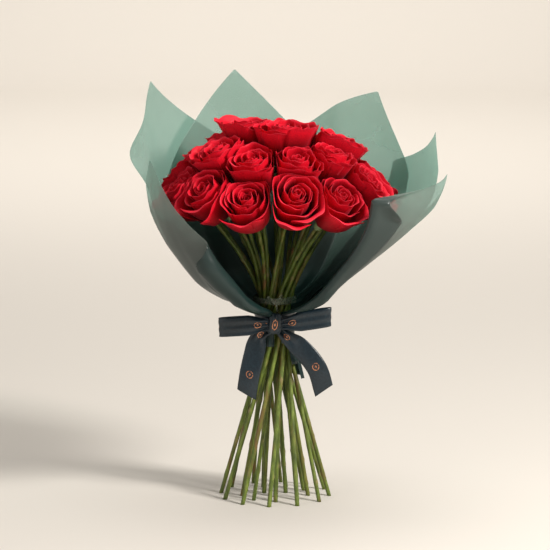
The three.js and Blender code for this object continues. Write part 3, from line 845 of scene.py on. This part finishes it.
def rolled(bearing, side, roll, half, reach, u):
    """The half of a sheet whose edge rolls outward: its bearings, its lift, and where it is rolled."""
    reaches, widths, radii, turns = [np.array(column, float) for column in zip(*roll)]
    width = np.interp(reach / DOME, reaches, widths * MM)
    curl = np.interp(reach / DOME, reaches, radii * MM)
    turn = np.interp(reach / DOME, reaches, turns)
    local = np.maximum(funnel(bearing + side * half, reach)[0], 12 * MM)
    edge = np.radians(half) * local
    # Columns crowd into the roll, which starts at the edge and takes the extra width.
    crowd = np.sign(u) * np.abs(u) ** 0.8
    past = side * crowd * (edge + width) - edge
    angle = np.clip(past / curl, 0, turn)
    rest = np.maximum(past - turn * curl, 0)
    along = np.minimum(past, 0) + curl * np.sin(angle) + rest * np.cos(angle)
    lift = curl * (1 - np.cos(angle)) + rest * np.sin(angle)
    # folded marks the rolled film, which the film material paints darker as painted shade.
    folded = smooth_step(past, 0, 8 * MM) * smooth_step(width, 4 * MM, 16 * MM)
    return bearing + side * np.degrees((edge + along) / local), lift, folded


def film_sheet(name, node, sheet):
    """One kite of film. bearing, tip, corners and slopes are the frame's.

    rolls, for the left and the right edge, lists (reach, width, radius, turn): how much more film there
    is past the edge at a reach in dome radii, and the radius and the angle that it rolls outward by.
    curls lists (side, reach, size, out): a corner that turns outward, and by how many millimetres.
    """
    rng = np.random.default_rng(SEED * 1000 + sheet["seed"])
    sheet["waves"] = rng.uniform(0, 2 * np.pi, 2)
    bearing = sheet["bearing"]
    foot = sheet["foot"] * MM
    v = np.linspace(0, 1, SHEET_ROWS)[:, None]
    u = np.linspace(-1, 1, SHEET_COLUMNS)[None, :]
    reach = foot + (sheet["tip"] * DOME - foot) * v
    halves = half_angles(sheet, reach)
    at = bearing + u * np.where(u < 0, halves[0], halves[1])
    outward = np.zeros_like(at)
    folded = np.zeros_like(at)
    for side, roll, half in zip((-1, 1), sheet.get("rolls", (None, None)), halves):
        if roll is None:
            continue
        chosen = side * u > 0
        new_at, lift, fold = rolled(bearing, side, roll, half, reach, u)
        at = np.where(chosen, new_at, at)
        outward = np.where(chosen, lift, outward)
        folded = np.where(chosen, fold, folded)
    radius, height = sheet_surface(sheet, at, reach, outward)
    for side, centre, size, out in sheet.get("curls", ()):
        amount = np.exp(-(((reach / DOME - centre) / size) ** 2)) * smooth_step(side * u, 0.25, 1) ** 1.5
        radius = radius + out * MM * amount
    grid = bearing_point(np.radians(at), radius, height)
    points, faces = thick_sheet(grid, FILM_THICKNESS)
    # The film attribute carries the masks of the film's painted shade: the reach up from the neck, and where
    # the film is rolled.
    marks = np.stack(np.broadcast_arrays(reach / DOME, folded, 0 * at), axis=-1).reshape(-1, 3)
    obj = make_object(name, points, faces.tolist(), [FILM], attributes={"film": np.concatenate([marks] * 2)})
    attach(obj, node)


# Bearings and neck angles are in degrees, foot is in millimetres, cut in metres and area in square metres.
# Tips, corners and bows are in dome radii. A layer counts how many sheets lie inside this one.
SHEETS = {
    "back_centre": {
        "bearing": 202, "layer": 0, "foot": -62, "tip": 3.16, "corners": (1.83, 1.7), "slopes": (1, 1),
        "neck": 62, "bow": -0.17, "cut": (0.311, 0.407), "area": 0.061, "seed": 1,
    },
    "back_left": {
        "bearing": -111, "layer": 1, "foot": -42, "tip": 3.1, "corners": (2.1, 2.5), "slopes": (1.45, 0.85),
        "neck": 54, "bow": 0.04, "cut": (0.30, 0.381), "area": 0.055, "seed": 2,
        "curls": [(1, 2.35, 0.25, 19)],
    },
    "back_right": {
        "bearing": 128, "layer": 1, "foot": -72, "tip": 3.04, "corners": (2.2, 2.2), "slopes": (0.4, 1.7),
        "neck": 54, "bow": -0.2, "cut": (0.30, 0.405), "area": 0.055, "seed": 3,
    },
    "right": {
        "bearing": 94, "layer": 2, "foot": -52, "tip": 2.8, "corners": (2.1, 2.3), "slopes": (0.4, 1.7),
        "neck": 50, "bow": -0.2, "cut": (0.26, 0.358), "area": 0.041, "seed": 4,
    },
    "front_left": {
        "bearing": -70, "layer": 2, "foot": -30, "tip": 2.36, "corners": (1.46, 1.6), "slopes": (1, 0.95),
        "neck": 59, "bow": 0, "cut": (0.31, 0.288), "area": 0.045, "seed": 5,
        "rolls": (None, [
            (0, 4, 3, 2), (0.5, 20, 5, 3.4), (1.1, 50, 12, 4.2), (1.36, 54, 13, 4.2), (1.6, 8, 8, 1.6),
            (1.85, 0.5, 6, 0.1),
        ]),
    },
    "front_right": {
        "bearing": 84, "layer": 3, "foot": -26, "tip": 2.4, "corners": (2.06, 1.9), "slopes": (3.1, 0.8),
        "neck": 60, "bow": -0.15, "cut": (0.31, 0.29), "area": 0.047, "seed": 6,
        "rolls": ([(0, 2, 3, 1), (0.5, 8, 3, 2), (1.0, 24, 4, 3), (1.9, 48, 5, 3.1), (2.15, 10, 5, 2),
                   (2.35, 1, 5, 0.3)], None),
    },
}
for sheet_name, sheet in SHEETS.items():
    film_sheet(f"film_{sheet_name}", f"wrap_{sheet_name}", sheet)

# ---------------- the ribbon

# The satin lies at the outer face of the frame's ribbon, which lies on the frame's film.
FRAME_FILM = 0.75 * MM
FRAME_RIBBON = 0.9 * MM
RIBBON_RADIUS = NECK + 3 * LAYER_GAP + FRAME_FILM / 2 + FRAME_RIBBON
SATIN_THICKNESS = 0.35 * MM
KNOT_STRIP = 26 * MM
KNOT_WIDTH = 19 * MM
KNOT_DEPTH = 13 * MM
KNOT_FRONT = RIBBON_RADIUS + FRAME_RIBBON + KNOT_DEPTH / 2 - 2 * MM
LOOP_HEIGHT = 0.92 * RIBBON_WIDTH
LOOP_BOTTOM = COLLAR_TOP - 2.5 * MM - LOOP_HEIGHT
PATH_STEP = 1.6 * MM
STRIP_COLUMNS = 15


def ribbon_piece(name, node, grid, length):
    """A strip of satin from a grid: rows run along it, columns across."""
    rows, columns = grid.shape[:2]
    points, faces = thick_sheet(grid, SATIN_THICKNESS)
    along = np.linspace(0, length / RIBBON_WIDTH, rows)[:, None]
    across = np.linspace(0, 1, columns)[None, :]
    marks = np.stack(np.broadcast_arrays(across, along, 0.0), axis=-1).reshape(-1, 3)
    strip = {"strip": np.concatenate([marks] * 2)}
    obj = make_object(name, points, faces.tolist(), [SATIN], attributes=strip)
    attach(obj, node)


def ribbon_loop(name, node, side, rise, seed):
    """A loop of the bow: out from the knot, round a hairpin and back, crumpled where the knot grips it."""
    start = KNOT_WIDTH / 2 - 1.5 * MM
    length = 59 * MM
    plan = [(0, -0.1), (0.3, -0.44), (0.84, -0.46), (1, -0.02), (0.85, 0.44), (0.35, 0.42), (0, 0.1)]
    knots = np.array([(side * (start + a * length), b * 9.5 * MM, rise * a * MM) for a, b in plan])
    route = smooth_path(knots, PATH_STEP)
    out = np.abs(route[:, 0]) - start
    grip = 1 - smooth_step(out, 0, 26 * MM)
    w = np.linspace(-0.5, 0.5, STRIP_COLUMNS)[None, :]
    high = LOOP_HEIGHT * (1 - 0.42 * grip)[:, None] * w
    folds = np.sin(w * 2 * np.pi * 2.5 + seed) * (grip[:, None] * 1.7 + 0.25) * MM
    sway = np.sin(np.linspace(0, 9, len(route)) + seed)[:, None] * (0.6 * MM) * w * 2
    middle = np.array([AXIS[0], AXIS[1] - KNOT_FRONT - 2 * MM, LOOP_BOTTOM + LOOP_HEIGHT / 2])
    tangents = np.gradient(route, axis=0)
    normal = unit(np.stack([tangents[:, 1], -tangents[:, 0], np.zeros(len(route))], axis=1))
    grid = route[:, None] + middle + normal[:, None] * (folds + sway)[..., None]
    grid[..., 2] += high
    ribbon_piece(name, node, grid, 2 * length)


def ribbon_tail(name, node, length, route, slant, seed):
    """A tail of the bow: it falls from under the knot in a soft curve, with a slanted cut end."""
    start = np.array([AXIS[0], AXIS[1] - KNOT_FRONT + 3 * MM, LOOP_BOTTOM - 0.1 * RIBBON_WIDTH])
    knots = np.array([start + np.array([a, -b, -c]) * length * MM for a, b, c in route])
    path = smooth_path(knots, PATH_STEP)
    tangents = unit(np.gradient(path, axis=0))
    across = unit(np.cross(tangents, [0, 1.0, 0]))
    facing = np.cross(across, tangents)
    down = np.linspace(0, 1, len(path))
    grip = 1 - smooth_step(down, 0, 0.35)
    w = np.linspace(-0.5, 0.5, STRIP_COLUMNS)[None, :]
    wide = RIBBON_WIDTH * 0.97 * (1 - 0.5 * grip)[:, None] * w
    folds = np.sin(w * 2 * np.pi * 2 + seed) * (grip * 1.6 * MM)[:, None]
    belly = (1 - (2 * w) ** 2) * (2.2 * MM * np.sin(down * np.pi * 1.5 + seed))[:, None]
    cut = (slant * MM * w * 2) * (down ** 3)[:, None]
    grid = path[:, None] + across[:, None] * wide[..., None] + facing[:, None] * (folds + belly)[..., None]
    grid = grid + tangents[:, None] * cut[..., None]
    ribbon_piece(name, node, grid, distances(path)[-1])


def ribbon_band():
    """The ribbon drawn tight once round the neck, creased lengthwise."""
    turn = np.linspace(0, 2 * np.pi * 0.995, 120)
    w = np.linspace(-0.5, 0.5, 17)[None, :]
    crease = 0.45 * MM * np.sin(w * 2 * np.pi * 2.6 + 1.2 * np.sin(turn)[:, None])
    radius = RIBBON_RADIUS + 0.5 * MM + crease
    height = WAIST + BAND_HEIGHT * w + 0.8 * MM * np.sin(turn * 2)[:, None]
    grid = bearing_point(np.broadcast_to(turn[:, None] + np.pi, radius.shape), radius, height)
    ribbon_piece("satin_band", None, grid, 2 * math.pi * RIBBON_RADIUS)


def ribbon_knot():
    """The knot: a short strip pulled over the crossing, with its edges turned in and folds down it."""
    wrap = 2.5  # how far the strip goes round the crossing to each side, in radians
    around = np.linspace(-wrap, wrap, 40)[:, None]
    w = np.linspace(-1, 1, 21)[None, :]
    half = KNOT_WIDTH / 2 * (0.80 + 0.16 * np.cos(around * 1.1 + 0.5))
    puff = np.sqrt(np.clip(1 - (w * 0.93) ** 2, 0, 1))
    fold = 0.9 * MM * np.sin(w * 7.5 + 1.1 * np.sin(around * 1.3))
    depth = (KNOT_DEPTH / 2 * 1.02 * puff + fold * puff) * np.cos(around / wrap * 1.45) ** 0.5
    high = RIBBON_WIDTH / 2 * np.sin(around / wrap * np.pi / 2) * (0.86 + 0.14 * puff)
    x = half * w + 1.2 * MM * np.sin(around)
    y = -KNOT_FRONT - depth + 1.5 * MM
    grid = np.stack(np.broadcast_arrays(x, y, high), axis=-1) + np.array([AXIS[0], AXIS[1], WAIST])
    ribbon_piece("satin_knot", "ribbon_band", grid, KNOT_STRIP)


ribbon_band()
ribbon_knot()
ribbon_loop("satin_loop_left", "ribbon_loop_left", -1, -4, 0.4)
ribbon_loop("satin_loop_right", "ribbon_loop_right", 1, 9, 2.1)
ribbon_tail("satin_tail_left", "ribbon_tail_left", 68, [
    (-0.10, -0.02, -0.1), (-0.28, 0, 0.03), (-0.36, 0.05, 0.3), (-0.44, 0.08, 0.65), (-0.5, 0.07, 1.06),
], 5, 0.3)
ribbon_tail("satin_tail_right", "ribbon_tail_right", 84, [
    (0.06, -0.02, -0.07), (0.16, 0, 0.03), (0.4, 0.05, 0.22), (0.6, 0.08, 0.48), (0.7, 0.07, 0.80),
], -4, 1.7)

# ---------------- the clear tie


def tape_end(place, direction, rng):
    """A short end of twisted tape that stands out of the knot."""
    v = np.linspace(0, 1, 10)[:, None]
    u = np.linspace(-1, 1, 4)[None, :]
    aim = unit(np.array(direction))
    side = unit(np.cross(aim, [0, 1.0, 0]))
    line = place + aim * (3 * MM + 10 * MM * v[..., None])
    strip = line + side * (u * (1.5 - 0.7 * v) * MM)[..., None]
    flutter = 0.8 * MM * np.sin(v * 5 + u * 2 + rng.uniform(0, 6))
    strip[..., 1] += flutter - 2 * MM * v ** 2
    return thick_sheet(strip, 0.2 * MM)


def tie_tape(radius, low, high):
    """Clear tape wound twice round the stems."""
    turn = np.linspace(0, 4 * np.pi, 160)[:, None]
    w = np.linspace(-0.5, 0.5, 9)[None, :]
    tall = (high - low) * 0.62
    middle = (low + high) / 2 + (high - low) * 0.16 * np.sin(turn * 0.5 + 0.8)
    out = radius + 0.25 * MM * turn / np.pi + 0.2 * MM * np.sin(turn * 12) + 0.25 * MM * np.sin(w * 9)
    grid = bearing_point(np.broadcast_to(turn, out.shape), out, middle + tall * w)
    points, faces = thick_sheet(grid, 0.15 * MM)
    attach(make_object("tie_tape", points, faces.tolist(), [TAPE]), "stem_tie")


def tie_knot(place):
    """The knot: a lump of twisted tape with three short ends that stand out of it."""
    rng = np.random.default_rng(SEED)
    turn = np.linspace(0, 2 * np.pi, 28, endpoint=False)[None, :]
    rise = np.linspace(0, np.pi, 16)[:, None]
    lump = 1 + 0.18 * np.sin(3 * turn + 2 * rise) + 0.12 * np.sin(5 * turn - 3 * rise)
    x = 4.6 * MM * lump * np.sin(rise) * np.cos(turn)
    y = 3.0 * MM * lump * np.sin(rise) * np.sin(turn)
    z = 4.2 * MM * np.cos(rise) + 0 * turn
    knot = np.stack([x, y, z], axis=-1) + place
    index = np.arange(knot.shape[0] * knot.shape[1]).reshape(knot.shape[:2])
    wrapped = np.roll(index, -1, axis=1)
    faces = np.stack([index[:-1], index[1:], wrapped[1:], wrapped[:-1]], axis=-1).reshape(-1, 4).tolist()
    points = knot.reshape(-1, 3)
    for direction in ([-1, -0.25, 0.7], [0.75, -0.35, 0.9], [0.15, -0.6, -0.8]):
        end_points, end_faces = tape_end(place, direction, rng)
        faces += (end_faces + len(points)).tolist()
        points = np.concatenate([points, end_points])
    attach(make_object("tie_knot", points, faces, [TAPE]))


tie_points, _ = node_mesh("stem_tie")
tie_low = tie_points[:, 2].min()
tie_high = tie_points[:, 2].max()
# The tape lies at a radius just under the median of the node's points.
tie_radius = np.percentile(np.hypot(tie_points[:, 0] - AXIS[0], tie_points[:, 1] - AXIS[1]), 40)
tie_tape(tie_radius, tie_low, tie_high)
tie_knot(np.array([AXIS[0] + 1 * MM, AXIS[1] - tie_radius - 3.2 * MM, (tie_low + tie_high) / 2]))

# ---------------- the studio


def studio():
    """A seamless sheet of cream paper: a floor that curves up into a wall."""
    depth = 4.3
    half_width = 6
    sweep = 0.7
    wall_height = 3.5
    flat = np.linspace(-half_width, depth, 30)
    angle = np.linspace(0, np.pi / 2, 16)[1:]
    wall = np.linspace(0, wall_height, 14)[1:]
    y = np.concatenate([flat, depth + sweep * np.sin(angle), np.full(len(wall), depth + sweep)])
    z = np.concatenate([np.zeros(len(flat)), sweep * (1 - np.cos(angle)), sweep + wall])
    x = np.linspace(-half_width, half_width, 14)
    grid = np.stack(np.broadcast_arrays(x[None, :], y[:, None], z[:, None]), axis=-1)
    obj = make_object("studio_sweep", grid.reshape(-1, 3), grid_faces(len(y), len(x)).tolist(), [PAPER])


def lamp(name, place, target, size, watts, colour):
    """A square soft light at a place, turned to a target."""
    data = bpy.data.lights.new(name, "AREA")
    data.shape = "SQUARE"
    data.size = size
    data.energy = watts
    data.color = colour
    obj = bpy.data.objects.new(name, data)
    bpy.context.scene.collection.objects.link(obj)
    obj.location = place
    obj.rotation_euler = (Vector(target) - Vector(place)).to_track_quat("-Z", "Y").to_euler()


def camera():
    """The view of the bunch: from the front and a little above, looking down by 9.6 degrees."""
    distance = 4.0
    pitch = math.radians(9.6)
    target = Vector((AXIS[0], AXIS[1], 0.270))
    data = bpy.data.cameras.new("camera")
    data.sensor_width = 36
    data.lens = 218
    obj = bpy.data.objects.new("camera", data)
    bpy.context.scene.collection.objects.link(obj)
    obj.location = target + Vector((0, -distance * math.cos(pitch), distance * math.sin(pitch)))
    obj.rotation_euler = (target - obj.location).to_track_quat("-Z", "Y").to_euler()
    bpy.context.scene.camera = obj


studio()
lamp("key", (1.5, -1.1, 1.55), (0, 0, 0.35), 0.5, 60, (1.0, 0.96, 0.91))
lamp("fill", (-1.9, -1.7, 0.9), (0, 0, 0.3), 1.8, 11.5, (1.0, 0.97, 0.94))
lamp("top", (0.1, 0.4, 2.1), (0, 0, 0.3), 1.2, 12, (1.0, 0.97, 0.93))
lamp("wall", (0.0, 3.0, 2.6), (0, 4.8, 0.2), 2.6, 76, (1.0, 0.96, 0.91))
world = bpy.data.worlds.new("studio_air")
world.use_nodes = True
air = world.node_tree.nodes["Background"].inputs
air["Color"].default_value = (1.0, 0.955, 0.90, 1)
air["Strength"].default_value = 0.34
bpy.context.scene.world = world
bpy.context.scene.view_settings.view_transform = "Standard"
camera()
